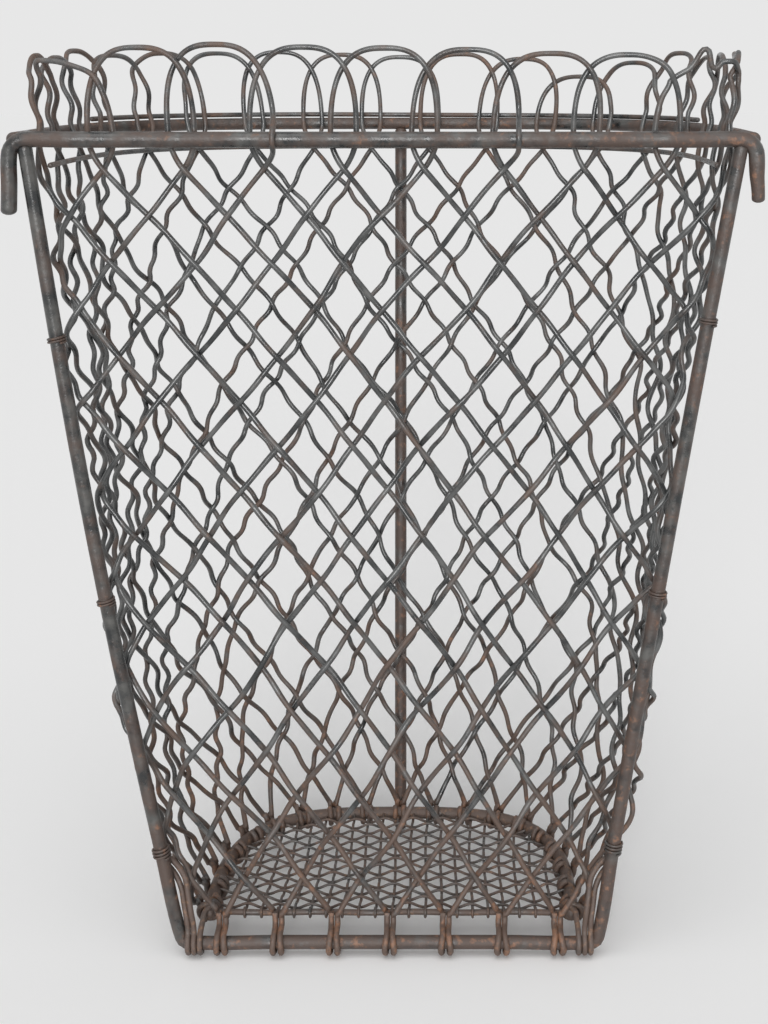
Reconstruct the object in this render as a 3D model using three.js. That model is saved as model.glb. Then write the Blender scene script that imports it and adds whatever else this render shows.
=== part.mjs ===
// Half-round wirework wastepaper basket: a flat framed side, a curved back wall,
// an open diagonal lattice of hairpin wires that ends in a crown of arches, and a woven raised floor.
// Millimetres, Z up. The flat side faces -Y and the origin is the bottom centre of the whole basket.
import * as THREE from 'three';

// Overall frame
const TOP_WIDTH = 345;
const BOTTOM_WIDTH = 216;
const TOP_DEPTH = 205;
const BOTTOM_DEPTH = 136;
const TOP_BAR_HEIGHT = 424;
const HOOK_DROP = 34;
const BEND_RADIUS = 8;
const FOOT_BEND_RADIUS = 5;

// Stock: heavy rod, floor ring, lattice wire and floor wire
const ROD_RADIUS = 3.5;
const RING_RADIUS = 3;
const WIRE_RADIUS = 1.4;
const FLOOR_WIRE_RADIUS = 0.9;
const ROD_SIDES = 8;
const WIRE_SIDES = 4;
const CLEARANCE = 0.3;

// Lattice: columns are counted round the whole wall, rows from the top crossing down to the ties
const COLUMNS = 52;
const ROWS = 17;
const FRONT_COLUMNS_TOP = 17.6;
const FRONT_COLUMNS_BOTTOM = 14.9;
const FIRST_ROW_DROP = 14.5;
const CORNER_RADIUS = 10;
const WALL_FULLNESS = 3.2;
const SIDE_SPREAD = 6;
const BELLY = 12;
const BELLY_TOP = 300;

// Crown of arches above the top bar
const CROWN_HEIGHT = 42;
const CROWN_FULLNESS = 2.75;
const FOOT_HALF_WIDTH = 6.2;
const LEGS_OVER_BAR = [-3, 3];

// Thin hoops of the curved wall: one on the back rim from a column round, one inside the lattice
const RIM_WIRE_COLUMN = 15;
const COLLAR_DROP = 13;

// Woven floor
const FLOOR_HEIGHT = 16;
const WARPS = 14;
const WEFTS = 12;

// Corner distance of a bar whose flat-sided section has the area of the round one
const reach = (radius, sides) => radius * Math.sqrt((2 * Math.PI) / (sides * Math.sin((2 * Math.PI) / sides)));
const rod = reach(ROD_RADIUS, ROD_SIDES);
const ring = reach(RING_RADIUS, ROD_SIDES);
const wire = reach(WIRE_RADIUS, WIRE_SIDES);
const thin = reach(FLOOR_WIRE_RADIUS, WIRE_SIDES);

// Sizes that follow from the stock
const weave = wire + 1.3 * CLEARANCE;
const inset = rod + CLEARANCE + weave + wire;
const tieGrip = rod + CLEARANCE + wire;
const ringGrip = ring + CLEARANCE + wire;
const bottomBar = tieGrip + wire;
const firstRow = TOP_BAR_HEIGHT - FIRST_ROW_DROP;
const rowStep = (firstRow - FLOOR_HEIGHT) / ROWS;
const strand = wire + CLEARANCE / 2;
const floorWeave = thin + CLEARANCE / 2;
const warpGrip = wire + CLEARANCE + thin;
const floorFront = inset + wire + CLEARANCE + thin + warpGrip;
const half = COLUMNS / 2;

const vec = (x, y, z) => new THREE.Vector3(x, y, z);
const mix = (a, b, t) => a + (b - a) * t;
const depthShare = (z) => (TOP_BAR_HEIGHT - z) / (TOP_BAR_HEIGHT - bottomBar);
const uprightX = (z) => mix(TOP_WIDTH, BOTTOM_WIDTH, depthShare(z)) / 2;
const backY = (z) => mix(TOP_DEPTH, BOTTOM_DEPTH, depthShare(z));

// Side walls stand out past the uprights and swell most a little above the floor
function swell(z) {
  const share = THREE.MathUtils.clamp((z - FLOOR_HEIGHT) / (BELLY_TOP - FLOOR_HEIGHT), 0, 1);
  const spread = SIDE_SPREAD * THREE.MathUtils.smoothstep(share, 0, 0.4);
  return spread + BELLY * Math.sin(Math.PI * share ** 0.58) ** 2;
}

// Half of the lattice's D-shaped section at one height: straight front, rounded corner, full oval back
const levels = new Map();
function level(z) {
  const key = z.toFixed(3);
  if (levels.has(key)) return levels.get(key);
  const side = uprightX(z) - inset + swell(z);
  const front = side - CORNER_RADIUS;
  const start = inset + CORNER_RADIUS;
  const back = backY(z) - inset - start;
  const points = [vec(0, inset, z), vec(front, inset, z)];
  const normals = [vec(0, -1, 0), vec(0, -1, 0)];
  for (let i = 1; i <= 6; i += 1) {
    const turn = (i / 6) * (Math.PI / 2);
    points.push(vec(front + CORNER_RADIUS * Math.sin(turn), start - CORNER_RADIUS * Math.cos(turn), z));
    normals.push(vec(Math.sin(turn), -Math.cos(turn), 0));
  }
  const power = 2 / WALL_FULLNESS;
  for (let i = 1; i <= 60; i += 1) {
    const turn = (i / 60) * (Math.PI / 2);
    const [across, deep] = [Math.max(Math.cos(turn), 0), Math.sin(turn)];
    points.push(vec(side * across ** power, start + back * deep ** power, z));
    normals.push(vec(across ** (2 - power) / side, deep ** (2 - power) / back, 0).normalize());
  }
  const lengths = [0];
  for (let i = 1; i < points.length; i += 1) {
    lengths.push(lengths[i - 1] + points[i].distanceTo(points[i - 1]));
  }
  const pitch = (2 * uprightX(z)) / mix(FRONT_COLUMNS_TOP, FRONT_COLUMNS_BOTTOM, depthShare(z));
  const edge = front / pitch;
  const backPitch = (lengths[lengths.length - 1] - front) / (half - edge);
  const found = { points, normals, lengths, pitch, edge, backPitch, front };
  levels.set(key, found);
  return found;
}

// Point of the wall at a column and height, moved out along the wall's normal and sideways along the wall
function wall(column, z, out = 0, sideways = 0) {
  const wrapped = column - COLUMNS * Math.round(column / COLUMNS);
  const at = level(z);
  const mirror = wrapped < 0 ? -1 : 1;
  const c = Math.abs(wrapped);
  const base = c <= at.edge ? c * at.pitch : at.front + (c - at.edge) * at.backPitch;
  const total = at.lengths[at.lengths.length - 1];
  const raw = base + sideways * mirror;
  const flip = raw < 0 || raw > total ? -1 : 1;
  const s = raw < 0 ? -raw : Math.min(raw, 2 * total - raw);
  let i = 1;
  while (i < at.lengths.length - 1 && at.lengths[i] < s) i += 1;
  const t = (s - at.lengths[i - 1]) / (at.lengths[i] - at.lengths[i - 1]);
  const point = at.points[i - 1].clone().lerp(at.points[i], t);
  const normal = at.normals[i - 1].clone().lerp(at.normals[i], t).normalize();
  point.addScaledVector(normal, out);
  point.x *= mirror * flip;
  return point;
}

// Closed bar along a path: one ring of corners per point and a flat cap at each end
function bar(points, size, sides, facing) {
  const position = [];
  const index = [];
  const normal = facing.clone();
  points.forEach((point, i) => {
    const into = point.clone().sub(points[Math.max(i - 1, 0)]).normalize();
    const away = points[Math.min(i + 1, points.length - 1)].clone().sub(point).normalize();
    const along = into.add(away).normalize();
    normal.addScaledVector(along, -normal.dot(along)).normalize();
    const across = vec(0, 0, 0).crossVectors(along, normal);
    for (let j = 0; j < sides; j += 1) {
      const turn = ((j + 0.5) / sides) * 2 * Math.PI;
      const corner = point.clone();
      corner.addScaledVector(normal, size * Math.cos(turn));
      corner.addScaledVector(across, size * Math.sin(turn));
      position.push(corner.x, corner.y, corner.z);
    }
  });
  const last = (points.length - 1) * sides;
  for (let a = 0; a < last; a += 1) {
    const b = (a + 1) % sides === 0 ? a + 1 - sides : a + 1;
    index.push(a, b, b + sides, a, b + sides, a + sides);
  }
  for (let j = 1; j < sides - 1; j += 1) {
    index.push(0, j + 1, j, last, last + j, last + j + 1);
  }
  const geometry = new THREE.BufferGeometry();
  geometry.setAttribute('position', new THREE.Float32BufferAttribute(position, 3));
  geometry.setIndex(index);
  geometry.computeVertexNormals();
  return geometry;
}

// Points of a round bend from one direction to another, in the plane of two unit vectors
function bend(centre, first, second, radius, from, to, steps) {
  return Array.from({ length: steps + 1 }, (_, i) => {
    const turn = THREE.MathUtils.degToRad(mix(from, to, i / steps));
    const point = centre.clone().addScaledVector(first, radius * Math.cos(turn));
    return point.addScaledVector(second, radius * Math.sin(turn));
  });
}

const X = vec(1, 0, 0);
const Y = vec(0, 1, 0);
const Z = vec(0, 0, 1);
const FRONTWARD = vec(0, -1, 0);
const group = new THREE.Group();
const basket = new THREE.Group();
const colours = { rod: '#3a3835', lattice: '#33332f', rusted: '#4f4035' };

function add(name, geometry, colour) {
  const material = new THREE.MeshStandardMaterial({ color: colours[colour], metalness: 0.6, roughness: 0.7 });
  const mesh = new THREE.Mesh(geometry, material);
  mesh.name = name;
  basket.add(mesh);
}

const numbered = (name, i) => `${name}_${String(i + 1).padStart(2, '0')}`;
const mirrored = (points) => points.map((p) => vec(-p.x, p.y, p.z)).reverse();

// Top bar with both ends turned down as short hooks outside the uprights
function topBar() {
  const uprightTop = TOP_BAR_HEIGHT - rod - CLEARANCE;
  const hookX = uprightX(uprightTop) + 2 * rod + CLEARANCE;
  const corner = vec(hookX - BEND_RADIUS, 0, TOP_BAR_HEIGHT - BEND_RADIUS);
  const right = bend(corner, X, Z, BEND_RADIUS, 90, 0, 5);
  right.push(vec(hookX, 0, TOP_BAR_HEIGHT - HOOK_DROP));
  return [...mirrored(right), ...right];
}

// Two uprights and the bottom bar, one rod bent at the lower corners
function frontFrame() {
  const top = TOP_BAR_HEIGHT - rod - CLEARANCE;
  const lean = uprightX(top) - uprightX(bottomBar);
  const angle = THREE.MathUtils.radToDeg(Math.atan2(top - bottomBar, lean));
  const setback = FOOT_BEND_RADIUS * Math.tan(THREE.MathUtils.degToRad(angle / 2));
  const centre = vec(uprightX(bottomBar) - setback, 0, bottomBar + FOOT_BEND_RADIUS);
  const right = bend(centre, X, Z, FOOT_BEND_RADIUS, -90, angle - 90, 5);
  const end = top - rod * Math.cos(THREE.MathUtils.degToRad(angle)) - CLEARANCE;
  right.push(vec(uprightX(end), 0, end));
  return [...mirrored(right), ...right];
}

// Column at which the rounded corner ends and the curved wall begins
function cornerColumn(z) {
  const at = level(z);
  return at.edge + (CORNER_RADIUS * Math.PI) / 2 / at.backPitch;
}

// Curve that follows the back wall at one height from a column round to its mirror image;
// a front line carries both ends forward
function backCurve(z, out, steps, first, frontY) {
  const right = [];
  for (let i = 0; i <= steps; i += 1) {
    right.push(wall(mix(first, half, i / steps), z, out));
  }
  if (frontY !== undefined) right.unshift(vec(right[0].x, frontY, z));
  const left = mirrored(right);
  left.shift();
  return [...right, ...left];
}

// Centre rod of the curved wall, carried down past the floor ring as the rear foot
function backRod() {
  const top = TOP_BAR_HEIGHT - 1.2 * rod - CLEARANCE;
  const foot = bottomBar;
  return [vec(0, backY(top), top), vec(0, backY(foot), foot), vec(0, backY(foot), 0)];
}

// Lower end of a leg: round the bottom bar on the flat side, round the floor ring on the curved wall
function tie(column, shift) {
  const at = level(FLOOR_HEIGHT);
  const wrapped = column - COLUMNS * Math.round(column / COLUMNS);
  const start = wall(column, FLOOR_HEIGHT, 0, shift);
  if (Math.abs(wrapped) <= at.edge) {
    const axis = vec(start.x, 0, bottomBar);
    const arm = start.clone().sub(axis);
    const slope = Math.atan2(arm.z, -arm.y) - Math.acos(tieGrip / arm.length());
    const from = THREE.MathUtils.radToDeg(slope);
    return [start, ...bend(axis, FRONTWARD, Z, tieGrip, from, -130, 4)];
  }
  const centre = wall(column, FLOOR_HEIGHT);
  const outward = wall(column, FLOOR_HEIGHT, 1).sub(centre);
  const axis = centre.addScaledVector(vec(0, 0, 0).crossVectors(Z, outward), shift).addScaledVector(outward, -ringGrip);
  return bend(axis, outward, Z, ringGrip, 0, -140, 3);
}

// One leg from the top crossing down to its tie; way is +1 or -1 column per row.
// A leg that comes over the bar stays in front at its first crossing.
function leg(column, way) {
  const points = [];
  for (let row = 0; row < ROWS; row += 1) {
    const swapped = row === 0 && LEGS_OVER_BAR.includes(column);
    const over = row % 2 === 0 && !swapped ? way * weave : -way * weave;
    points.push(wall(column + way * row, firstRow - row * rowStep, over));
  }
  return [...points, ...tie(column + way * ROWS, -way * strand)];
}

// Foot of a leg at the top bar; a few legs pass in front of the bar, the rest behind it
function foot(column, share, overBar) {
  const behind = wall(column + share, TOP_BAR_HEIGHT);
  if (!overBar) return [behind];
  const axis = vec(behind.x, 0, TOP_BAR_HEIGHT);
  return bend(axis, FRONTWARD, Z, tieGrip + 2 * CLEARANCE, 50, -50, 2);
}

// Hairpin: a leg, an arch of the crown over to the next pair of feet, and a leg the other way
function hairpin(column) {
  const share = FOOT_HALF_WIDTH / level(TOP_BAR_HEIGHT).pitch;
  const span = 1 + share;
  const power = 2 / CROWN_FULLNESS;
  const crossing = Math.acos((1 / span) ** (1 / power));
  const stops = [[0.25, 0], [0.65, 0.5], [1, 1], [1.45, 0.5]];
  const rise = stops.map(([part, over]) => [crossing * part, over]);
  const arch = (turn, side, over) => {
    const x = side * span * Math.cos(turn) ** power;
    const z = TOP_BAR_HEIGHT + CROWN_HEIGHT * Math.sin(turn) ** power;
    return wall(column + 1 + x, z, side * over * weave);
  };
  const left = rise.map(([turn, over]) => arch(turn, -1, over));
  const right = rise.map(([turn, over]) => arch(turn, 1, over)).reverse();
  const overBar = LEGS_OVER_BAR.includes(column + 2);
  return [
    ...leg(column, 1).reverse(),
    ...foot(column, -share, false),
    ...left,
    arch(Math.PI / 2, 1, 0),
    ...right,
    ...foot(column + 2, share, overBar),
    ...leg(column + 2, -1),
  ];
}

// Inside edge of the floor ring, where the floor wires end
const floorLevel = level(FLOOR_HEIGHT);
const floorStart = inset + CORNER_RADIUS;
const floorSide = uprightX(FLOOR_HEIGHT) - inset - ringGrip - ring - CLEARANCE - thin;
const floorBack = backY(FLOOR_HEIGHT) - inset - ringGrip - ring - CLEARANCE - thin - floorStart;
const warpStep = (2 * floorSide) / (WARPS + 0.5);
const weftStep = (floorStart + floorBack - floorFront - warpGrip) / (WEFTS + 0.3);
const warpX = (i) => (i - (WARPS - 1) / 2) * warpStep;
const weftY = (j) => floorFront + warpGrip + (j + 0.6) * weftStep;
const ovalRest = (part) => Math.max(1 - Math.abs(part) ** WALL_FULLNESS, 0) ** (1 / WALL_FULLNESS);
const warpEnd = (x) => floorStart + floorBack * ovalRest(x / floorSide);
const weftEnd = (y) => floorSide * ovalRest(Math.max(y - floorStart, 0) / floorBack);
const crossed = (i, j) => weftY(j) <= warpEnd(warpX(i));
const lift = (i, j) => ((i + j) % 2 === 0 ? floorWeave : -floorWeave);
const keepOff = 2 * thin + CLEARANCE;

// Front-to-back floor wire, hooked round the front wire
function warp(i) {
  const x = warpX(i);
  const axis = vec(x, floorFront, FLOOR_HEIGHT);
  const points = bend(axis, FRONTWARD, Z, warpGrip, -100, 90, 4);
  let z = FLOOR_HEIGHT + floorWeave;
  let end = warpEnd(x);
  for (let j = 0; j < WEFTS; j += 1) {
    if (!crossed(i, j)) {
      end = Math.min(end, weftY(j) - keepOff);
      break;
    }
    z = FLOOR_HEIGHT + lift(i, j);
    points.push(vec(x, weftY(j), z));
  }
  const last = points[points.length - 1];
  if (end - last.y > CLEARANCE) points.push(vec(x, end, z));
  return points;
}

// Side-to-side floor wire, woven over and under the warps
function weft(j) {
  const y = weftY(j);
  const points = [];
  let end = weftEnd(y);
  for (let i = 0; i < WARPS; i += 1) {
    if (crossed(i, j)) points.push(vec(warpX(i), y, FLOOR_HEIGHT - lift(i, j)));
    else end = Math.min(end, Math.abs(warpX(i)) - keepOff);
  }
  const [first, last] = [points[0], points[points.length - 1]];
  if (end - last.x > CLEARANCE) {
    points.unshift(vec(-end, y, first.z));
    points.push(vec(end, y, last.z));
  }
  return points;
}

const rimFront = rod + CLEARANCE;
const rimWireHeight = TOP_BAR_HEIGHT + rod + CLEARANCE + wire;
const collarHeight = TOP_BAR_HEIGHT - COLLAR_DROP;
const collarOut = -(weave + 2 * wire + 3 * CLEARANCE);
const ringFront = floorFront - wire;
const rimPath = backCurve(TOP_BAR_HEIGHT, inset, 16, cornerColumn(TOP_BAR_HEIGHT), rimFront);
const rimWirePath = backCurve(rimWireHeight, inset, 11, RIM_WIRE_COLUMN);
const collarPath = backCurve(collarHeight, collarOut, 16, cornerColumn(collarHeight));
const ringPath = backCurve(FLOOR_HEIGHT, -ringGrip, 16, cornerColumn(FLOOR_HEIGHT), ringFront);
const frontWireX = uprightX(FLOOR_HEIGHT) - inset - ringGrip - ring - CLEARANCE;
const frontWire = [vec(-frontWireX, floorFront, FLOOR_HEIGHT), vec(frontWireX, floorFront, FLOOR_HEIGHT)];

add('top_bar', bar(topBar(), rod, ROD_SIDES, FRONTWARD), 'rod');
add('front_frame', bar(frontFrame(), rod, ROD_SIDES, FRONTWARD), 'rod');
add('back_rim', bar(rimPath, rod, ROD_SIDES, Z), 'rod');
add('rim_wire', bar(rimWirePath, wire, WIRE_SIDES, Z), 'lattice');
add('collar_wire', bar(collarPath, wire, WIRE_SIDES, Z), 'lattice');
add('back_rod', bar(backRod(), rod, ROD_SIDES, Y), 'rod');
add('floor_ring', bar(ringPath, ring, ROD_SIDES, Z), 'rusted');
add('floor_front_wire', bar(frontWire, wire, WIRE_SIDES, Z), 'rusted');
for (let i = 0; i < half; i += 1) {
  add(numbered('lattice_wire', i), bar(hairpin(1 - half + 2 * i), wire, WIRE_SIDES, vec(0, 0, 1)), 'lattice');
}
for (let i = 0; i < WARPS; i += 1) {
  add(numbered('floor_warp', i), bar(warp(i), thin, WIRE_SIDES, X), 'rusted');
}
for (let j = 0; j < WEFTS; j += 1) {
  add(numbered('floor_weft', j), bar(weft(j), thin, WIRE_SIDES, Y), 'rusted');
}

const box = new THREE.Box3().setFromObject(basket);
basket.position.y = -(box.min.y + box.max.y) / 2;
group.add(basket);
group.updateMatrixWorld(true);

export default group;
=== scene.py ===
import bpy
import numpy as np
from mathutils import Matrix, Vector


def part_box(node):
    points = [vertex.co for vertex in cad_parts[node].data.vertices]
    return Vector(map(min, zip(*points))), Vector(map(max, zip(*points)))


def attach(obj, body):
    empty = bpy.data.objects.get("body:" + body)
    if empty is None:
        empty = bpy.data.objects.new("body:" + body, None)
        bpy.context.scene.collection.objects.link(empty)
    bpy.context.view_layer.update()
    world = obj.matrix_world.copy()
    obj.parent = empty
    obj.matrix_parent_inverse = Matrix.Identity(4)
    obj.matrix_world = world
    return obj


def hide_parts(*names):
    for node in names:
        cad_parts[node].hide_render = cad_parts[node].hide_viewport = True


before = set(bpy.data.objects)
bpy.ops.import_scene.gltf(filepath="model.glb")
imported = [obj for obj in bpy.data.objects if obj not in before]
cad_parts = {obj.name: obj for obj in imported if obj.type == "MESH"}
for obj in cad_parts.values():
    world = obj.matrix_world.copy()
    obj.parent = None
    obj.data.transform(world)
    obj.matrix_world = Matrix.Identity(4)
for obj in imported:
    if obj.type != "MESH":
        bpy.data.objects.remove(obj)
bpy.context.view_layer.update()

# Sizes in millimetres, counts and fullness of the basket, the same as its solids
TOP_WIDTH, BOTTOM_WIDTH = 345.0, 216.0
TOP_DEPTH, BOTTOM_DEPTH = 205.0, 136.0
TOP_BAR, BOTTOM_BAR, FLOOR = 424.0, 7.50, 16.0
HOOK_DROP, BEND = 34.0, 8.0
ROD, WIRE = 3.5, 1.4
COLUMNS, HALF, ROWS = 52, 26, 17
FRONT_COLUMNS_TOP, FRONT_COLUMNS_BOTTOM = 17.6, 14.9
FIRST_ROW = TOP_BAR - 14.5
ROW_STEP = (FIRST_ROW - FLOOR) / ROWS
INSET, CORNER, WALL_FULLNESS = 7.89, 10.0, 3.2
SIDE_SPREAD, SPREAD_PART = 6.0, 0.4
BELLY, BELLY_TOP, BELLY_SKEW = 12.0, 300.0, 0.58
OVAL_PACE, OVAL_STEPS = 1.4, 80
WEAVE = 1.44
CROWN, FULLNESS, FOOT_SPREAD = 42.0, 2.75, 6.2
LEGS_OVER_BAR = (-3, 3)
RIM_WIRE_COLUMN, COLLAR_DROP = 15.0, 13.0
RING_IN = 5.22
FLOOR_FRONT = INSET + 6.37
WARPS, WEFTS = 14, 12

# What the old basket shows and its plain solids simplify, in millimetres and counts
BAR, RING, FLOOR_WIRE, BINDING_WIRE = 3.9, 3.5, 0.76, 0.65
FOOT_BEND = 4.0
LEFT_BOW, RIGHT_BOW, BOW_FROM = 4.6, 1.2, 0.2
WORN_HOOK, HOOK_WEAR = (1.2, 0.0, 5.5), 0.7
SEEN_WARPS, SEEN_WEFTS, FLOOR_WEAVE = 21, 15, 1.25
THICK_END, UNEVEN = 0.2, 0.035

# Gaps between wires that touch, and lengths of path between rings of points
TIE_GAP, GRIP_GAP, RING_GAP, EDGE_GAP = 1.64, 0.25, 0.3, 1.1
ROD_PACE, RIM_PACE, WIRE_PACE, FLOOR_PACE, TIE_PACE = 2.0, 2.5, 1.6, 1.5, 1.2
# Flat faces round each kind of bar
ROD_SIDES, BACK_SIDES, RING_SIDES, EDGE_SIDES, WIRE_SIDES, THIN_SIDES = 24, 20, 16, 12, 10, 8

# Crimp of the curved wall's wires: turns in a row and how they vary, then sways in shares of a column
CRIMP_TURNS, CRIMP_VARIES, CRIMP, OGEE = 1.18, 0.16, 0.062, 0.010
# Waves in and out that crossing wires share: turns in a row, then millimetres
SHARED_TURNS, SHARED_WAVE, CURVED_WEAVE = 1.2, 1.35, 0.2
# Hand-bent unevenness along the wall and outward, and each wire's own sway, in millimetres
DRIFT_ALONG, DRIFT_OUT, OWN_SWAY = 1.1, 1.4, 0.5

# Crown: column of each corner and its reach in columns, then knocks and kinks in millimetres
CORNER_ARCH, CORNER_REACH, CORNER_IN = 9.5, 2.0, 4.5
LEFT_KNOCK, RIGHT_KNOCK, MIDDLE_RISE = 4.0, 1.5, 2.6
KINK, KINK_LENGTH = 1.5, 23
# Size in millimetres and pace of the buckles in the crown's corners
LEFT_BUCKLE, RIGHT_BUCKLE = (2.4, 5), (4.4, 8)

# The flat side's rods lie on y = 0 here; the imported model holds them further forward
low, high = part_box("top_bar")
FORWARD = 500.0 * (low.y + high.y)

X, Y, Z = np.eye(3)
FRONT = -Y
MIRROR = (-1.0, 1.0, 1.0)

seeded = np.random.default_rng(29)


# Shape of the wall


def smooth(a, b, t):
    """Soft step: 0 before a, 1 after b, and 3t2 - 2t3 of the share between."""
    t = np.clip((t - a) / (b - a), 0.0, 1.0)
    return t * t * (3.0 - 2.0 * t)


def share_down(z):
    """Share of the way from the top bar down to the bottom bar."""
    return (TOP_BAR - z) / (TOP_BAR - BOTTOM_BAR)


def upright_x(z):
    """Half width between the uprights: a straight taper from top to bottom."""
    return 0.5 * (TOP_WIDTH + (BOTTOM_WIDTH - TOP_WIDTH) * share_down(z))


def back_y(z):
    """Depth of the curved wall at its middle: a straight taper from top to bottom."""
    return TOP_DEPTH + (BOTTOM_DEPTH - TOP_DEPTH) * share_down(z)


def swell(z):
    """How far the side walls stand out past the uprights: a soft step plus a sine-squared belly low
    down."""
    t = np.clip((z - FLOOR) / (BELLY_TOP - FLOOR), 0.0, 1.0)
    return SIDE_SPREAD * smooth(0.0, SPREAD_PART, t) + BELLY * np.sin(np.pi * t**BELLY_SKEW) ** 2


def edge_column(z):
    """Column number at which the flat front ends and the rounded corner begins: its half width over
    the pitch."""
    columns = FRONT_COLUMNS_TOP + (FRONT_COLUMNS_BOTTOM - FRONT_COLUMNS_TOP) * share_down(z)
    pitch = 2.0 * upright_x(z) / columns
    return (upright_x(z) - INSET + swell(z) - CORNER) / pitch


def oval(even):
    """Unit quarter oval from its side to its back: cosine and sine raised to two over the fullness,
    walked at a nearly even pace."""
    turn = np.pi / 2 * even**OVAL_PACE / (even**OVAL_PACE + (1 - even) ** OVAL_PACE)
    return np.maximum(np.cos(turn), 0.0) ** (2 / WALL_FULLNESS), np.sin(turn) ** (2 / WALL_FULLNESS)


def wall(column, z, out=0.0, along=0.0):
    """Points and outward normals of the D-shaped wall. At each height the section is a straight
    front, a round corner and a quarter of a full oval (a superellipse), measured by arc length and
    mirrored; the column number becomes a length round it, then the point moves along the wall and out
    along its normal."""
    column, z, out, along = (np.ravel(a).astype(float) for a in np.broadcast_arrays(column, z, out, along))
    side = upright_x(z) - INSET + swell(z)
    front = side - CORNER
    start = INSET + CORNER
    back = back_y(z) - INSET - start
    edge = edge_column(z)
    pitch = front / edge
    even = np.linspace(0.0, 1.0, OVAL_STEPS + 1)
    across, deep = oval(even)
    steps = np.hypot(np.diff(side[:, None] * across, axis=1), np.diff(back[:, None] * deep, axis=1))
    walked = np.concatenate([np.zeros((len(z), 1)), np.cumsum(steps, axis=1)], axis=1)
    bend = CORNER * np.pi / 2
    total = front + bend + walked[:, -1]
    back_pitch = (total - front) / (HALF - edge)
    wrapped = wrap(column)
    mirror = np.where(wrapped < 0, -1.0, 1.0)
    c = np.abs(wrapped)
    raw = np.where(c <= edge, c * pitch, front + (c - edge) * back_pitch) + along * mirror
    flip = np.where((raw < 0) | (raw > total), -1.0, 1.0)
    s = np.where(raw < 0, -raw, np.minimum(raw, 2 * total - raw))
    corner = np.clip((s - front) / CORNER, 0.0, np.pi / 2)
    t = np.clip(s - front - bend, 0.0, walked[:, -1])
    k = np.clip((walked < t[:, None]).sum(axis=1), 1, OVAL_STEPS)
    rows = np.arange(len(z))
    part = (t - walked[rows, k - 1]) / (walked[rows, k] - walked[rows, k - 1])
    across, deep = oval(even[k - 1] + part * even[1])
    flat, round_corner = s <= front, s < front + bend
    x = np.where(flat, s, np.where(round_corner, front + CORNER * np.sin(corner), side * across))
    y = np.where(flat, INSET, np.where(round_corner, start - CORNER * np.cos(corner), start + back * deep))
    ox, oy = across ** (WALL_FULLNESS - 1) / side, deep ** (WALL_FULLNESS - 1) / back
    size = np.hypot(ox, oy)
    nx = np.where(flat, 0.0, np.where(round_corner, np.sin(corner), ox / size))
    ny = np.where(flat, -1.0, np.where(round_corner, -np.cos(corner), oy / size))
    sign = mirror * flip
    point = np.stack([(x + out * nx) * sign, y + out * ny, z], axis=1)
    return point, np.stack([nx * sign, ny, np.zeros_like(z)], axis=1)


def wrap(column):
    """Column number brought to the nearest turn: 0 is the middle of the flat side, 26 the middle of
    the back."""
    return column - COLUMNS * np.round(column / COLUMNS)


def back_curve(z, out, count, front_y=None, start=None):
    """Line round the curved wall at one height from a column, or from where the corner ends, to its
    mirror image: an even walk over the columns of half the wall, then mirrored; a front line carries
    both ends forward."""
    if start is None:
        tried = np.linspace(edge_column(np.array([z]))[0], HALF, 400)
        start = tried[np.argmax(wall(tried, z)[0][:, 1] > INSET + CORNER)]
    right, _ = wall(np.linspace(start, HALF, count), z, out)
    if front_y is not None:
        right = np.concatenate([[(right[0, 0], front_y, z)], right])
    return np.concatenate([right, (right[::-1] * MIRROR)[1:]])


# Hand-bent unevenness shared by every wire, so that crossing wires stay together
WAVES = 12
DRIFT = [
    (
        seeded.integers(2, 16, WAVES),
        seeded.integers(1, 9, WAVES),
        seeded.uniform(0, 6.28, WAVES),
        seeded.uniform(0.25, 0.8, WAVES),
    )
    for _ in range(2)
]


def drift(column, z, kind):
    """Sum of sine waves over column and height, faded out at the bars; kind 0 is along the wall, 1 is
    outward."""
    turns, lifts, phases, sizes = DRIFT[kind]
    angle = 2 * np.pi * turns * column[:, None] / COLUMNS + np.pi * lifts * z[:, None] / TOP_BAR + phases
    fade = smooth(FLOOR, FLOOR + 50, z) * (1 - smooth(TOP_BAR - 60, TOP_BAR - 12, z))
    return fade * (sizes * np.sin(angle)).sum(axis=1)


# Round bars along a path


def through(nodes, facing, step):
    """Smooth path through nodes: cubic pieces whose slopes weigh both neighbouring chords, sampled
    every step of chord length. The facing vectors, or one for all, are carried along by straight
    interpolation."""
    facing = np.broadcast_to(facing, nodes.shape)
    h = np.linalg.norm(np.diff(nodes, axis=0), axis=1)
    keep = np.concatenate([[True], h > 1e-3])
    nodes, facing = nodes[keep], facing[keep]
    chord = np.diff(nodes, axis=0)
    h = np.linalg.norm(chord, axis=1)
    u = np.concatenate([[0.0], np.cumsum(h)])
    slope = chord / h[:, None]
    mid = (slope[:-1] * h[1:, None] + slope[1:] * h[:-1, None]) / (h[1:] + h[:-1])[:, None]
    m = np.concatenate([slope[:1], mid, slope[-1:]])
    at = np.linspace(0.0, u[-1], max(int(u[-1] / step), 4) + 1)
    k = np.clip(np.searchsorted(u, at, side="right") - 1, 0, len(h) - 1)
    d = h[k][:, None]
    t = ((at - u[k]) / h[k])[:, None]
    path = (
        nodes[k] * (2 * t**3 - 3 * t**2 + 1)
        + m[k] * d * (t**3 - 2 * t**2 + t)
        + nodes[k + 1] * (3 * t**2 - 2 * t**3)
        + m[k + 1] * d * (t**3 - t**2)
    )
    return path, facing[k] * (1 - t) + facing[k + 1] * t


def unit(v):
    """Vectors divided by their own lengths."""
    return v / np.linalg.norm(v, axis=-1, keepdims=True)


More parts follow.
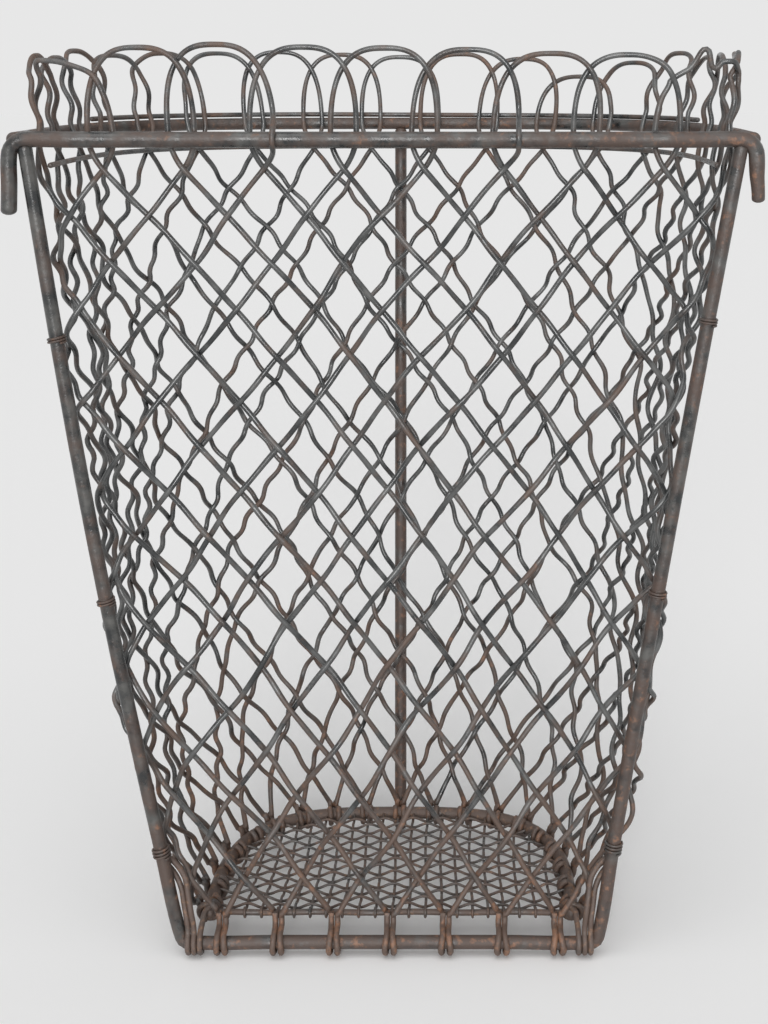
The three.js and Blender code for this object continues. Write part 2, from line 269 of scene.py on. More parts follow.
def bowed(points):
    """Old knocks to the frame: points near the left upright move out, and those near the right one in
    a little, by half a sine over the height times a soft step over the width."""
    rise = np.sin(np.pi * np.clip((points[:, 2] - BOTTOM_BAR) / (TOP_BAR - BOTTOM_BAR), 0.0, 1.0))
    part = points[:, 0] / upright_x(points[:, 2])
    bow = rise * (LEFT_BOW * smooth(BOW_FROM, 1.0, -part) + RIGHT_BOW * smooth(BOW_FROM, 1.0, part))
    return points - X * bow[:, None]


# Rings of an end's dome in shares of the radius: how far past the end, and how wide
DOME_OUT, DOME_IN = np.array([0.55, 0.4, 0.2])[:, None], np.array([0.35, 0.72, 0.93])


def tube(name, path, facing, radius, sides, finish, stands_for=(), age=0.0):
    """Round bar: a circle carried along the path in the plane of the facing vector squared to the
    path and the cross product of the two, with each end drawn in to a low dome. Its age value is
    stored on every point."""
    slot, material = finish
    path, facing = np.asarray(path, float), np.broadcast_to(facing, np.shape(path)).astype(float)
    radius = np.broadcast_to(np.asarray(radius, float), len(path))
    age = np.broadcast_to(np.asarray(age, float), len(path))
    tangent = unit(np.gradient(path, axis=0))
    first = path[:1] - tangent[:1] * radius[0] * DOME_OUT
    last = path[-1:] + tangent[-1:] * radius[-1] * DOME_OUT[::-1]
    n = len(DOME_IN)
    path = np.concatenate([first, path, last])
    tangent = np.concatenate([np.repeat(tangent[:1], n, 0), tangent, np.repeat(tangent[-1:], n, 0)])
    facing = np.concatenate([np.repeat(facing[:1], n, 0), facing, np.repeat(facing[-1:], n, 0)])
    size = np.concatenate([radius[0] * DOME_IN, radius, radius[-1] * DOME_IN[::-1]])
    age = np.concatenate([np.repeat(age[:1], n), age, np.repeat(age[-1:], n)])
    normal = unit(facing - (facing * tangent).sum(1, keepdims=True) * tangent)
    across = np.cross(tangent, normal)
    turn = 2 * np.pi * np.arange(sides) / sides
    cosine, sine = np.cos(turn)[None, :, None], np.sin(turn)[None, :, None]
    ring = normal[:, None, :] * cosine + across[:, None, :] * sine
    points = path[:, None, :] + ring * size[:, None, None]
    points = bowed(points.reshape(-1, 3)) + (0.0, FORWARD, 0.0)
    rows, cols = np.meshgrid(np.arange(len(path) - 1), np.arange(sides), indexing="ij")
    a = rows * sides + cols
    b = rows * sides + (cols + 1) % sides
    quads = np.stack([a, b, b + sides, a + sides], axis=-1).reshape(-1, 4)
    end = (len(path) - 1) * sides
    caps = [list(range(sides - 1, -1, -1)), list(range(end, end + sides))]
    mesh = bpy.data.meshes.new(name)
    mesh.from_pydata((points * 0.001).tolist(), [], quads.tolist() + caps)
    mesh.polygons.foreach_set("use_smooth", np.ones(len(mesh.polygons), bool))
    ages = mesh.attributes.new("age", "FLOAT", "POINT")
    ages.data.foreach_set("value", np.repeat(age, sides).astype(np.float32))
    mesh.materials.append(material)
    mesh.update()
    piece = bpy.data.objects.new(name, mesh)
    bpy.context.scene.collection.objects.link(piece)
    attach(piece, "root")
    if stands_for:
        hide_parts(*stands_for)


def arc(centre, first, second, radius, start, stop, count):
    """Points on a circle in the plane of two unit vectors, from one angle to another in degrees, and
    their radial directions."""
    turn = np.radians(np.linspace(start, stop, count))[:, None]
    radial = np.asarray(first, float) * np.cos(turn) + np.asarray(second, float) * np.sin(turn)
    return np.asarray(centre, float) + radius * radial, radial


def both_sides(*right):
    """The parts of a path's right half, joined to their mirror image."""
    right = np.concatenate(right)
    return np.concatenate([right[::-1] * MIRROR, right])


# Materials


def make_group(name, inputs, outputs):
    """Empty shader node group with the named float sockets."""
    tree = bpy.data.node_groups.new(name, "ShaderNodeTree")
    for label, value in inputs:
        socket = tree.interface.new_socket(name=label, in_out="INPUT", socket_type="NodeSocketFloat")
        socket.default_value = value
    for label in outputs:
        tree.interface.new_socket(name=label, in_out="OUTPUT", socket_type="NodeSocketFloat")
    return tree, tree.nodes.new("NodeGroupInput"), tree.nodes.new("NodeGroupOutput")


def put(tree, socket, value):
    """A link into a socket where the value is another socket, and otherwise its own value."""
    if isinstance(value, bpy.types.NodeSocket):
        tree.links.new(value, socket)
    else:
        socket.default_value = value


def add(tree, kind, settings=None, **values):
    """New node with its settings and its input values or links, by name or as i0, i1 by number."""
    made = tree.nodes.new(kind)
    for key, value in (settings or {}).items():
        setattr(made, key, value)
    for key, value in values.items():
        numbered = key[0] == "i" and key[1:].isdigit()
        put(tree, made.inputs[int(key[1:])] if numbered else made.inputs[key.replace("_", " ")], value)
    return made


def ramp(tree, source, stops):
    """Grey ramp between two positions with their levels."""
    made = add(tree, "ShaderNodeValToRGB", Fac=source)
    for cell, (place, level) in zip(made.color_ramp.elements, stops):
        cell.position = place
        cell.color = (level, level, level, 1.0)
    return made.outputs["Color"]


def blend(tree, amount, a, b):
    """Colour mix of a towards b by amount."""
    made = add(tree, "ShaderNodeMix", {"data_type": "RGBA"})
    for socket, value in ((made.inputs[0], amount), (made.inputs[6], a), (made.inputs[7], b)):
        put(tree, socket, value)
    return made.outputs[2]


def sums(tree, kind, a, b, clamp=False):
    """One arithmetic node."""
    return add(tree, "ShaderNodeMath", {"operation": kind, "use_clamp": clamp}, i0=a, i1=b).outputs[0]


def noise(tree, place, scale, detail, roughness=0.5):
    """Cloudy noise over the object's own coordinates."""
    made = add(tree, "ShaderNodeTexNoise", Vector=place, Scale=scale, Detail=detail, Roughness=roughness)
    return made.outputs["Fac"]


def rust_group():
    """Rust that eats old paint: cloudy noise pushed by the age of the place gives the rust mask,
    finer noise the bright spots, and a fine grain the pits and the dull and shiny patches."""
    tree, source, result = make_group(
        "rust_and_wear",
        [("Age", 0.3), ("Patch Scale", 60.0), ("Grain Scale", 900.0)],
        ["Rust", "Bright", "Worn", "Height"],
    )
    place = add(tree, "ShaderNodeTexCoord").outputs["Object"]
    age, patch, grain = (source.outputs[label] for label in ("Age", "Patch Scale", "Grain Scale"))
    cloud = noise(tree, place, patch, 5.0, 0.62)
    pushed = sums(tree, "ADD", cloud, sums(tree, "MULTIPLY", age, 0.55))
    rust = ramp(tree, pushed, [(0.60, 0.0), (0.80, 1.0)])
    fine = noise(tree, place, sums(tree, "MULTIPLY", patch, 4.1), 4.0, 0.6)
    spots = sums(tree, "ADD", fine, sums(tree, "MULTIPLY", age, 0.22))
    bright = sums(tree, "MULTIPLY", ramp(tree, spots, [(0.66, 0.0), (0.8, 1.0)]), rust)
    slow = noise(tree, place, sums(tree, "MULTIPLY", patch, 1.7), 3.0)
    worn = ramp(tree, slow, [(0.38, 0.0), (0.66, 1.0)])
    pits = noise(tree, place, grain, 4.0, 0.7)
    rough_rust = sums(tree, "MULTIPLY", pits, sums(tree, "ADD", sums(tree, "MULTIPLY", rust, 0.8), 0.35))
    height = sums(tree, "ADD", rough_rust, sums(tree, "MULTIPLY", rust, 0.25))
    for label, value in (("Rust", rust), ("Bright", bright), ("Worn", worn), ("Height", height)):
        tree.links.new(value, result.inputs[label])
    return tree


RUST_AND_WEAR = rust_group()


def old_iron(name, paint, faded, rust, bright, patch, grain, depth):
    """Old painted iron and its slot: the paint fades in patches, rust breaks through by the group's
    mask, and the bump follows it."""
    made = bpy.data.materials.new(name)
    made.use_nodes = True
    tree = made.node_tree
    tree.nodes.clear()
    attribute = {"attribute_name": "age", "attribute_type": "GEOMETRY"}
    age = add(tree, "ShaderNodeAttribute", attribute).outputs["Fac"]
    group = {"node_tree": RUST_AND_WEAR}
    wear = add(tree, "ShaderNodeGroup", group, Age=age, Patch_Scale=patch, Grain_Scale=grain).outputs
    skin = blend(tree, wear["Worn"], (*paint, 1.0), (*faded, 1.0))
    skin = blend(tree, wear["Rust"], skin, (*rust, 1.0))
    skin = blend(tree, wear["Bright"], skin, (*bright, 1.0))
    gloss = sums(tree, "ADD", sums(tree, "MULTIPLY", wear["Worn"], 0.10), 0.22)
    gloss = sums(tree, "ADD", gloss, sums(tree, "MULTIPLY", wear["Rust"], 0.30), True)
    bump = add(tree, "ShaderNodeBump", Strength=0.75, Distance=depth, Height=wear["Height"])
    normal = bump.outputs["Normal"]
    shader = add(tree, "ShaderNodeBsdfPrincipled", Base_Color=skin, Roughness=gloss, Normal=normal)
    shader.inputs["IOR"].default_value = 1.62
    output = tree.nodes.new("ShaderNodeOutputMaterial")
    tree.links.new(shader.outputs["BSDF"], output.inputs["Surface"])
    return name, made


PAINTED_ROD = old_iron(
    "rod_paint",
    paint=(0.009, 0.011, 0.012),
    faded=(0.082, 0.080, 0.075),
    rust=(0.066, 0.041, 0.031),
    bright=(0.20, 0.099, 0.056),
    patch=62.0,
    grain=900.0,
    depth=0.0004,
)
PAINTED_WIRE = old_iron(
    "wire_paint",
    paint=(0.018, 0.020, 0.021),
    faded=(0.098, 0.099, 0.097),
    rust=(0.090, 0.056, 0.041),
    bright=(0.20, 0.10, 0.057),
    patch=55.0,
    grain=1500.0,
    depth=0.0003,
)
RUSTED_WIRE = old_iron(
    "rusted_wire",
    paint=(0.030, 0.027, 0.025),
    faded=(0.092, 0.080, 0.072),
    rust=(0.095, 0.062, 0.048),
    bright=(0.22, 0.125, 0.075),
    patch=70.0,
    grain=1500.0,
    depth=0.0004,
)


# Rods


def rod_age(path):
    """Rust grows towards the foot of the basket and towards its right side."""
    return 0.30 + 0.21 * (1 - smooth(0, 200, path[:, 2])) + 0.0006 * path[:, 0]


def make_rods():
    """Smooth paths through points: the top bar with turned-down hooks, the right one worn; the
    U-shaped front frame; the curved back rim; the back rod."""
    hook = upright_x(TOP_BAR - 4) + 2 * ROD + 0.7
    tip = TOP_BAR - HOOK_DROP
    across = [(20.0, 0, TOP_BAR), (90.0, 0, TOP_BAR), (150.0, 0, TOP_BAR)]
    bend, _ = arc((hook - BEND, 0, TOP_BAR - BEND), X, Z, BEND, 90, 0, 10)
    path = both_sides(across, bend, [(hook, 0, tip + 12), (hook + 0.3, 0, tip)])
    path, facing = through(path, FRONT, ROD_PACE)
    hang = smooth(TOP_BAR - BEND, tip, path[:, 2]) * (path[:, 0] > 0)
    path = path + hang[:, None] * WORN_HOOK
    radius = BAR - HOOK_WEAR * hang
    tube("old_top_bar", path, facing, radius, ROD_SIDES, PAINTED_ROD, ["top_bar"], rod_age(path) + 0.10)

    top = TOP_BAR - ROD - 0.6
    lean = np.arctan2(top - BOTTOM_BAR, upright_x(top) - upright_x(BOTTOM_BAR))
    setback = FOOT_BEND * np.tan(lean / 2)
    centre = (upright_x(BOTTOM_BAR) - setback, 0, BOTTOM_BAR + FOOT_BEND)
    bend, _ = arc(centre, X, Z, FOOT_BEND, -90, np.degrees(lean) - 90, 10)
    heights = np.array([60.0, 130.0, 200.0, 270.0, 340.0, top])
    up = np.stack([upright_x(heights), 0 * heights, heights], axis=1)
    path = both_sides([(20.0, 0, BOTTOM_BAR), (60.0, 0, BOTTOM_BAR)], bend, up)
    path, facing = through(path, FRONT, ROD_PACE)
    tube("old_front_frame", path, facing, ROD, ROD_SIDES, PAINTED_ROD, ["front_frame"], rod_age(path))

    path, facing = through(back_curve(TOP_BAR, INSET, 48, ROD + 0.4), Z, RIM_PACE)
    tube("old_back_rim", path, facing, ROD, BACK_SIDES, PAINTED_ROD, ["back_rim"], 0.45)

    foot = [BOTTOM_BAR + 6, BOTTOM_BAR - 2, 0.56 * ROD]
    heights = np.array([TOP_BAR - 4.5, 330.0, 240.0, 150.0, 60.0, *foot])
    path = np.stack([0 * heights, back_y(np.maximum(heights, BOTTOM_BAR)), heights], axis=1)
    path, facing = through(path, X, RIM_PACE)
    tube("old_back_rod", path, facing, ROD, BACK_SIDES, PAINTED_ROD, ["back_rod"], rod_age(path) + 0.15)


# Lattice of hairpin wires


def leg(column, way, number):
    """One wire from the top crossing down to its tie. Row by row it moves one column; outward it
    follows a cosine over and under the wires that it crosses. The wire of the curved wall is crimped:
    a sine with its own length and start moves it along the wall, and a sine over row and column,
    shared by the wires that cross, moves it in and out."""
    row = np.arange(0.0, ROWS, 0.125)
    z = FIRST_ROW - row * ROW_STEP
    plain = column + way * row
    wrapped = wrap(plain)
    curved = smooth(-1.0, 1.5, np.abs(wrapped) - edge_column(z))
    fade = smooth(0, 1, row) * (1 - smooth(ROWS - 1.2, ROWS - 0.5, row))
    turns = CRIMP_TURNS + CRIMP_VARIES * np.sin(5.3 * number + way)
    crimp = 2 * np.pi * turns * row + 2.9 * number + 1.7 * way
    ogee = (OGEE * np.sin(2 * np.pi * row) + CRIMP * curved * np.sin(crimp)) * fade
    over_bar = column in LEGS_OVER_BAR
    wave = np.where((row < 1) & over_bar, -1.0, np.cos(np.pi * row))
    turn = 2 * np.pi * wrapped / COLUMNS
    shared = np.sin(2 * np.pi * SHARED_TURNS * row + 16 * turn + 1.4 * np.sin(7 * turn))
    out = way * (WEAVE + CURVED_WEAVE * curved) * wave + SHARED_WAVE * curved * fade * shared
    out = out + DRIFT_OUT * drift(wrapped, z, 1)
    sway = OWN_SWAY * np.sin(row * 0.9 + number * 2.3) * smooth(0, 2, row) * (1 - smooth(14, 16.5, row))
    along = DRIFT_ALONG * drift(wrapped, z, 0) + sway
    points, normals = wall(plain + way * ogee, z, out, along)
    tied, turned = tie(column + way * ROWS, way)
    return np.concatenate([points, tied]), np.concatenate([normals, turned])


def tie(column, way):
    """Lower end of a leg: an arc round the bottom bar on the flat side, spread like a wishbone, or
    round the floor ring on the curved wall."""
    middle, normal = wall(column, FLOOR)
    if abs(wrap(column)) <= edge_column(np.array([FLOOR]))[0]:
        heights, outs = np.array([FLOOR + 4, FLOOR - 1.0]), np.array([0.2, 1.8])
        pinch, normals = wall(column, heights, outs, -way * TIE_GAP)
        grip = ROD + WIRE + GRIP_GAP
        round_bar, radial = arc((middle[0, 0], 0, BOTTOM_BAR), FRONT, Z, grip, 52, -132, 14)
        widest = 2.1 + 0.7 * smooth(-6.0, 6.0, wrap(column))
        spread = np.interp(np.linspace(0, 1, 14), [0, 0.35, 0.7, 1], [TIE_GAP, widest, 2.05, 1.75])
        round_bar[:, 0] -= way * spread
        return np.concatenate([pinch, round_bar]), np.concatenate([normals, radial])
    start, normals = wall(column, np.array([FLOOR + 5.0]), 0.3, -way * TIE_GAP)
    side = np.cross(Z, normal[0])
    grip = RING + WIRE + GRIP_GAP
    axis = middle[0] - normal[0] * RING_IN
    turned, radial = arc(axis, normal[0], Z, grip, 12, -250, 16)
    turned = turned - way * side * np.linspace(TIE_GAP, 2.6, 16)[:, None]
    return np.concatenate([start, turned]), np.concatenate([normals, radial])


CROWN_LEAN = 1.25 * seeded.uniform(-1.6, 1.6, (HALF, 3))
# Arches that were knocked down, and one that was crumpled, by number, in millimetres
KNOCKED = {16: 4.0, 21: 5.0, 22: 12.0, 23: 4.0}
CRUMPLED = {16: 7.5}


def hairpin(number):
    """A leg, an arch of the crown and a leg the other way. The arch is a superellipse over two
    columns, woven with its neighbours where it crosses them, with a little lean of its own; bell
    curves knock it down or up at the corners, and sines buckle its top and kink its sides."""
    column = 1 - HALF + 2 * number
    pitch = 2 * upright_x(TOP_BAR) / FRONT_COLUMNS_TOP
    share = FOOT_SPREAD / pitch
    span, power = 1 + share, 2 / FULLNESS
    crossing = np.arccos((1 / span) ** (1 / power))
    turn = np.concatenate([np.linspace(0.06, 0.5, 8), np.linspace(0.6, np.pi / 2, 40)])
    stops = [0, 0.25, 0.65, 1, 1.45, np.pi / 2 / crossing]
    over = np.interp(turn / crossing, stops, [0, 0, 0.5, 1, 0.5, 0])
    turn = np.concatenate([turn, np.pi - turn[-2::-1]])
    over = np.concatenate([-over, over[-2::-1]])
    x = span * np.abs(np.cos(turn)) ** power * -np.sign(np.cos(turn))
    rise = np.sin(turn) ** power
    lean_x, lean_y, lean_z = CROWN_LEAN[number]
    centre = wrap(column + 1)
    place = np.abs(wrap(column + 1 + x))
    left = centre < 0
    corner = np.exp(-((abs(centre) - CORNER_ARCH) / CORNER_REACH) ** 2)
    knocked = (LEFT_KNOCK if left else RIGHT_KNOCK) * corner + KNOCKED.get(number, 0.0)
    middle = np.exp(-((centre + 2.0) / 5.0) ** 2)
    z = TOP_BAR + (CROWN + lean_z - 0.9 + MIDDLE_RISE * middle - knocked) * rise
    crumple = np.exp(-((x + 0.32) / 0.24) ** 4) + 0.6 * np.exp(-((x - 0.45) / 0.22) ** 4)
    z = z + CRUMPLED.get(number, 0.0) * crumple
    kinked = smooth(-0.8, 1.0, place - edge_column(z)) * (1 - smooth(17.0, 20.0, place))
    kink = KINK * kinked * np.sin((z - TOP_BAR) * 2 * np.pi / KINK_LENGTH + 1.05 * place)
    kink = kink * smooth(0, 8, z - TOP_BAR)
    size, waves = LEFT_BUCKLE if left else RIGHT_BUCKLE
    buckle = size * corner * np.sin(waves * turn + number) * smooth(0.55, 0.95, rise)
    inward = CORNER_IN * np.exp(-((place - CORNER_ARCH) / CORNER_REACH) ** 2)
    out = over * WEAVE * (1 + 0.6 * kinked) + kink + (0.5 * lean_y - inward) * rise
    arch, arch_normals = wall(column + 1 + x, z + buckle * 0.6, out, lean_x * rise + buckle)
    legs_a, normals_a = leg(column, 1, number)
    legs_b, normals_b = leg(column + 2, -1, number + 0.5)
    foot_a, foot_normal_a = wall(column - share, TOP_BAR)
    foot_b, foot_normal_b = wall(column + 2 + share, TOP_BAR)
    if column + 2 in LEGS_OVER_BAR:
        foot_b, foot_normal_b = arc((foot_b[0, 0], 0, TOP_BAR), FRONT, Z, BAR + WIRE + 0.15, 60, -60, 7)
        arch, arch_normals = arch[:-3], arch_normals[:-3]
    nodes = np.concatenate([legs_a[::-1], foot_a, arch, foot_b, legs_b])
    facing = np.concatenate([normals_a[::-1], foot_normal_a, arch_normals, foot_normal_b, normals_b])
    return through(nodes, facing, WIRE_PACE)


def make_lattice():
    """All hairpin wires, with their own age and sine-wavy thickness, and the rim and collar wires of
    the curved wall, which run round it at one height."""
    for number in range(HALF):
        path, facing = hairpin(number)
        z = path[:, 2]
        near_floor = 0.30 * (1 - smooth(20, 190, z)) + 0.30 * (1 - smooth(8, 32, z))
        age = seeded.uniform(-0.16, 0.12) + 0.22 + near_floor + 0.13 * smooth(385, 430, z)
        run = np.arange(len(path)) * WIRE_PACE
        uneven = 1 + UNEVEN * np.sin(run / 9 + number) + UNEVEN * np.sin(run / 3.7 + 3 * number)
        radius = WIRE * uneven + THICK_END * (1 - smooth(13, 30, z))
        node = f"lattice_wire_{number + 1:02d}"
        tube("old_" + node, path, facing, radius, WIRE_SIDES, PAINTED_WIRE, [node], age)
    path = back_curve(TOP_BAR + ROD + WIRE + 0.6, INSET, 34, None, RIM_WIRE_COLUMN)
    path[:, 2] -= 0.5 * smooth(-60.0, 60.0, path[:, 0])
    path, facing = through(path, Z, RIM_PACE)
    tube("old_rim_wire", path, facing, WIRE, WIRE_SIDES, PAINTED_WIRE, ["rim_wire"], 0.35)
    path = back_curve(TOP_BAR - COLLAR_DROP, -(WEAVE * 2.2 + 2 * WIRE), 48, 11.0)
    path, facing = through(path, Z, RIM_PACE)
    tube("old_collar_wire", path, facing, WIRE, WIRE_SIDES, PAINTED_WIRE, ["collar_wire"], 0.25)


# Woven floor


def oval_rest(part):
    """How far the full oval reaches one way at a share of its reach the other way."""
    return np.maximum(1 - np.abs(part) ** WALL_FULLNESS, 0) ** (1 / WALL_FULLNESS)


FLOOR_SIDE = upright_x(FLOOR) - INSET - RING_IN - RING - RING_GAP - EDGE_GAP
FLOOR_START = INSET + CORNER
FLOOR_BACK = back_y(FLOOR) - INSET - RING_IN - RING - RING_GAP - EDGE_GAP - FLOOR_START
WARP_GRIP = WIRE + FLOOR_WIRE + 0.2
WARP_STEP = 2 * FLOOR_SIDE / (SEEN_WARPS + 0.5)
WEFT_STEP = (FLOOR_START + FLOOR_BACK - FLOOR_FRONT - WARP_GRIP) / (SEEN_WEFTS + 0.3)
WARP_X = (np.arange(SEEN_WARPS) - (SEEN_WARPS - 1) / 2) * WARP_STEP
WEFT_Y = FLOOR_FRONT + WARP_GRIP + (np.arange(SEEN_WEFTS) + 0.6) * WEFT_STEP
WARP_END = FLOOR_START + FLOOR_BACK * oval_rest(WARP_X / FLOOR_SIDE)
WEFT_END = FLOOR_SIDE * oval_rest(np.maximum(WEFT_Y - FLOOR_START, 0) / FLOOR_BACK)
WARP_AGE = 0.45 + 0.1 * seeded.uniform(-1.0, 1.0, (SEEN_WARPS, 2))[:, 1]
WEFT_AGE = 0.45 + 0.1 * seeded.uniform(-1.0, 1.0, (SEEN_WEFTS, 2))[:, 1]


def spread_over(solids, seen):
    """Which of the seen wires stand for the solid ones: an even spread, rounded."""
    return np.round(np.arange(solids) * (seen - 1) / (solids - 1)).astype(int).tolist()


def make_warps():
    """Front-to-back wires of a plain weave: a cosine over and under the wefts and two slow sines
    sideways; each begins in an arc round the front wire."""
    solids = spread_over(WARPS, SEEN_WARPS)
    for i in range(SEEN_WARPS):
        y = np.arange(FLOOR_FRONT + WARP_GRIP, WARP_END[i] + 2.4, 1.0)
        step = (y - WEFT_Y[0]) / WEFT_STEP
        z = FLOOR + FLOOR_WEAVE * 0.7 * np.cos(np.pi * (step + i))
        x = np.full_like(y, WARP_X[i])
        x = x + (0.9 * np.sin(y / 21 + x / 40) + 0.4 * np.sin(x / 13))
        body = np.stack([x, y, z], axis=1)
        hook, _ = arc((x[0], FLOOR_FRONT, FLOOR), FRONT, Z, WARP_GRIP, -130, 75, 10)
        path, facing = through(np.concatenate([hook, body[2:]]), X, FLOOR_PACE)
        node = [f"floor_warp_{solids.index(i) + 1:02d}"] if i in solids else ()
        name = f"old_floor_warp_{i + 1:02d}"
        tube(name, path, facing, FLOOR_WIRE, THIN_SIDES, RUSTED_WIRE, node, WARP_AGE[i])


def make_wefts():
    """Side-to-side wires of the weave: a cosine over and under the warps and two slow sines front to
    back."""
    solids = spread_over(WEFTS, SEEN_WEFTS)
    for j in range(SEEN_WEFTS):
        x = np.linspace(-WEFT_END[j] - 2.2, WEFT_END[j] + 2.2, max(int(WEFT_END[j] * 1.3), 12))
        step = (x - WARP_X[0]) / WARP_STEP
        z = FLOOR - FLOOR_WEAVE * np.cos(np.pi * (step + j))
        y = np.full_like(x, WEFT_Y[j])
        y = y + (0.8 * np.sin(x / 17 + 1) + 0.4 * np.sin(y / 9 + x / 30))
        path, facing = through(np.stack([x, y, z], axis=1), Y, FLOOR_PACE)
        node = [f"floor_weft_{solids.index(j) + 1:02d}"] if j in solids else ()
        name = f"old_floor_weft_{j + 1:02d}"
        tube(name, path, facing, FLOOR_WIRE, THIN_SIDES, RUSTED_WIRE, node, WEFT_AGE[j])


def make_floor_edge():
    """Ring round the curved edge of the floor, on the wall's own curve, and the front wire with a
    slight sine."""
    path, facing = through(back_curve(FLOOR, -RING_IN, 48, FLOOR_FRONT - 1.6), Z, ROD_PACE)
    tube("old_floor_ring", path, facing, RING, RING_SIDES, RUSTED_WIRE, ["floor_ring"], 0.6)
    reach = upright_x(FLOOR) - INSET - RING_IN - 0.5
    x = np.linspace(-reach, reach, 90)
    path = np.stack([x, FLOOR_FRONT + 0 * x, FLOOR + 0.25 * np.sin(x / 8)], axis=1)
    tube("old_floor_front_wire", path, Z, WIRE + 0.2, EDGE_SIDES, RUSTED_WIRE, ["floor_front_wire"], 0.5)


# Bindings and corner ties

TURN_POINTS = 22
# Heights of the bindings on each upright, from the top down
LEFT_BINDINGS, RIGHT_BINDINGS = (325.0, 191.0, 55.0), (334.0, 195.0, 58.0)
# Turns and length along the upright of each binding, from the top down
WINDINGS = ((2.4, 3.4), (2.4, 3.4), (3.2, 5.6))
# Place of each corner tie on the bottom bar, and its gap to the upright
CORNER_TIES = ((104.6, 5.2), (101.5, 8.3), (98.4, None))


def binding(name, low_end, high_end, turns, length):
    """Helix of thin wire round an upright: the circle turns steadily while it climbs along the rod."""
    along = unit(high_end - low_end)
    first = unit(FRONT - (FRONT @ along) * along)
    second = np.cross(along, first)
    t = np.linspace(0, 1, int(turns * TURN_POINTS))
    angle = 2 * np.pi * turns * t + 0.6
    radial = first * np.cos(angle)[:, None] + second * np.sin(angle)[:, None]
    path = low_end + along * (length * t)[:, None] + radial * (ROD + BINDING_WIRE)
    tube(name, path, radial, BINDING_WIRE, THIN_SIDES, PAINTED_ROD, (), 0.45)


def make_bindings():
    """Wire bindings on the uprights, three on each side, each along the line of its upright."""
    for side, word, heights in ((-1, "left", LEFT_BINDINGS), (1, "right", RIGHT_BINDINGS)):
        for count, (z, winding) in enumerate(zip(heights, WINDINGS)):
            foot = np.array([side * upright_x(z), 0.0, z])
            head = np.array([side * upright_x(z + 30), 0.0, z + 30])
            binding(f"upright_binding_{word}_{count + 1}", foot, head, *winding)


def make_corner_ties():
    """Three wires in each bottom corner, each ending in an arc round the bottom bar. Two hook behind
    the upright and run down its inner side, a fixed gap from it; the third comes in an arc over the
    end of the floor ring."""
    ring_x = upright_x(FLOOR) - INSET - RING_IN
    over, radial = arc((ring_x, 14.2, FLOOR), -X, Z, RING + WIRE + GRIP_GAP, 250, 70, 12)
    over[:, 1] -= np.linspace(-1.2, 1.2, 12)
    fall = np.array([(ring_x + 0.6, 10.8, FLOOR + 3.4), (97.8, 6.2, FLOOR + 0.6)])
    for side, word in ((-1, "left"), (1, "right")):
        for count, (bar_x, gap) in enumerate(CORNER_TIES):
            if gap is None:
                upper = np.concatenate([over, fall])
                lead = np.concatenate([radial, np.broadcast_to(0.6 * Z - Y, fall.shape)])
            else:
                heights = np.array([48.0, 43.0, 37.0, 29.0, 21.0]) + 5.5 * count
                x = upright_x(heights) - gap * np.array([0.0, 0.6, 1.0, 1.0, 1.0])
                upper = np.stack([x, np.array([5.4, 4.4, 2.4, 1.0, -1.0]), heights], axis=1)
                lead = np.broadcast_to(FRONT, upper.shape)
            wrapped, out = arc((bar_x, 0, BOTTOM_BAR), FRONT, Z, ROD + WIRE + 0.2, 62, -140, 14)
            nodes = np.concatenate([upper, wrapped]) * (side, 1.0, 1.0)
            facing = np.concatenate([lead, out]) * (side, 1.0, 1.0)
            path, facing = through(nodes, facing, TIE_PACE)
            name = f"corner_tie_{word}_{count + 1}"
            tube(name, path, facing, WIRE + 0.1, WIRE_SIDES, RUSTED_WIRE, (), 0.6)


make_rods()
make_lattice()
make_warps()
make_wefts()
make_floor_edge()
make_bindings()
make_corner_ties()


# Studio: pale floor, even sky, two soft suns, camera

SHEET_RADIUS, SHEET_POINTS = 14, 96
SKY_STRENGTH, WALL_GREY, FLOOR_GREY = 0.42, 0.80, 0.94
# Strength, spread in degrees and direction of each sun
SUNS = {
    "soft_sun": (0.92, 50, (0.12, 0.40, -1.0)),
    "front_light": (1.95, 25, (0.06, 0.95, -0.25)),
}
# Camera: focal length and frame height in pixels, sensor, shift, place and tilt in degrees
FOCAL_PIXELS, FRAME_PIXELS, SENSOR = 1546.0, 1024.0, 36.0
SHIFT = (-0.0805, -0.20)
CAMERA_X, CAMERA_BEFORE, CAMERA_Z, TILT_DOWN = 0.040, 745.0, 0.460, 8.95


def make_sheet():
    """Round pale floor sheet: one flat polygon with its points on a circle."""
    turn = np.linspace(0, 2 * np.pi, SHEET_POINTS + 1)[:-1]
    mesh = bpy.data.meshes.new("floor_sheet")
    rim = np.stack([SHEET_RADIUS * np.cos(turn), SHEET_RADIUS * np.sin(turn), 0 * turn], axis=1)
    mesh.from_pydata(rim.tolist(), [], [list(range(SHEET_POINTS))])
    paper = bpy.data.materials.new("pale_floor")
    paper.use_nodes = True
    shader = paper.node_tree.nodes["Principled BSDF"]
    shader.inputs["Base Color"].default_value = (FLOOR_GREY, FLOOR_GREY, FLOOR_GREY, 1.0)
    shader.inputs["Roughness"].default_value = 1.0
    shader.inputs["Specular IOR Level"].default_value = 0.0
    mesh.materials.append(paper)
    sheet = bpy.data.objects.new("floor_sheet", mesh)
    bpy.context.scene.collection.objects.link(sheet)


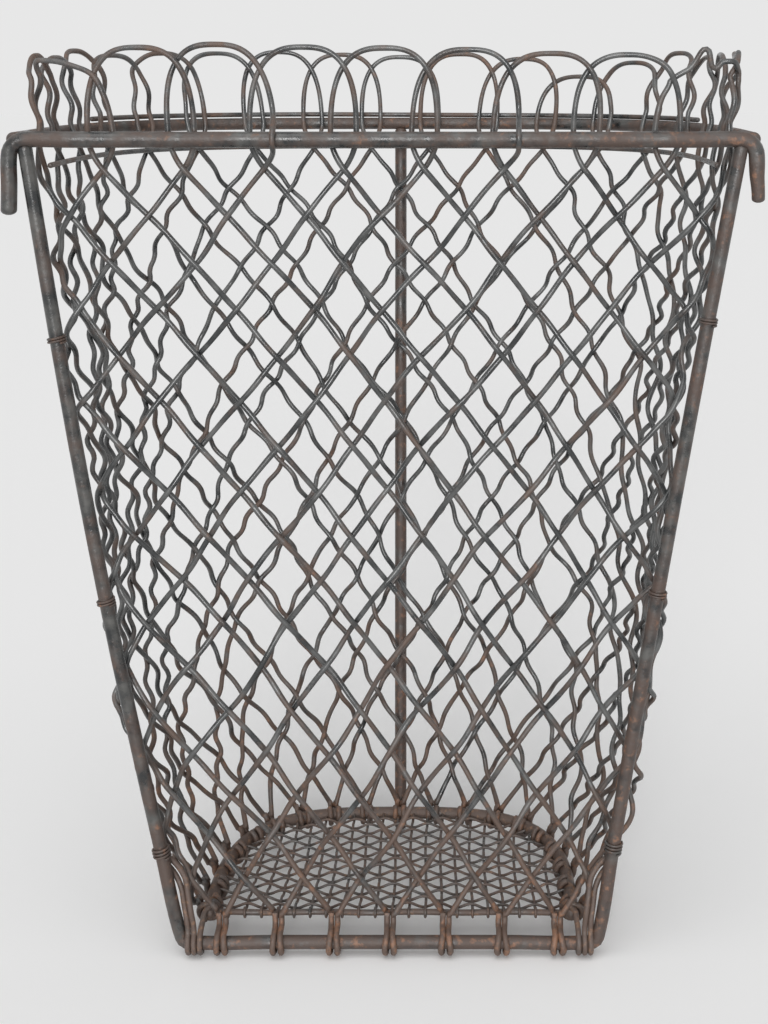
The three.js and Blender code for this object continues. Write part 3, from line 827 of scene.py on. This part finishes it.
def make_light():
    """A plain even sky that the camera and shiny surfaces see as a pale grey wall, and two broad soft
    suns, one from above and one from the front."""
    world = bpy.data.worlds.new("studio")
    bpy.context.scene.world = world
    world.use_nodes = True
    tree = world.node_tree
    tree.nodes.clear()
    rays = add(tree, "ShaderNodeLightPath").outputs
    seen = sums(tree, "MAXIMUM", rays["Is Glossy Ray"], rays["Is Transmission Ray"])
    seen = sums(tree, "MAXIMUM", rays["Is Camera Ray"], seen)
    white, grey = (1.0, 1.0, 1.0, 1.0), (WALL_GREY, WALL_GREY, WALL_GREY, 1.0)
    sky = add(tree, "ShaderNodeBackground", Color=white, Strength=SKY_STRENGTH).outputs[0]
    shown = add(tree, "ShaderNodeBackground", Color=grey, Strength=1.0).outputs[0]
    both = add(tree, "ShaderNodeMixShader", i0=seen, i1=sky, i2=shown).outputs[0]
    output = tree.nodes.new("ShaderNodeOutputWorld")
    tree.links.new(both, output.inputs["Surface"])

    for name, (energy, angle, direction) in SUNS.items():
        lamp = bpy.data.lights.new(name, "SUN")
        lamp.energy = energy
        lamp.angle = np.radians(angle)
        sun = bpy.data.objects.new(name, lamp)
        sun.rotation_mode = "QUATERNION"
        sun.rotation_quaternion = Vector(direction).to_track_quat("-Z", "Y")
        bpy.context.scene.collection.objects.link(sun)


def make_camera():
    """Camera in front of the flat side, a little above the rim, tilted down and shifted so that the
    basket fills the frame."""
    lens = bpy.data.cameras.new("camera")
    lens.lens = FOCAL_PIXELS / FRAME_PIXELS * SENSOR
    lens.shift_x, lens.shift_y = SHIFT
    lens.clip_start, lens.clip_end = 0.01, 60.0
    camera = bpy.data.objects.new("camera", lens)
    bpy.context.scene.collection.objects.link(camera)
    camera.location = (CAMERA_X, (FORWARD - CAMERA_BEFORE) * 0.001, CAMERA_Z)
    camera.rotation_euler = (np.radians(90.0 - TILT_DOWN), 0.0, 0.0)
    bpy.context.scene.camera = camera


make_sheet()
make_light()
make_camera()
bpy.context.scene.view_settings.view_transform = "Standard"

bpy.context.view_layer.update()
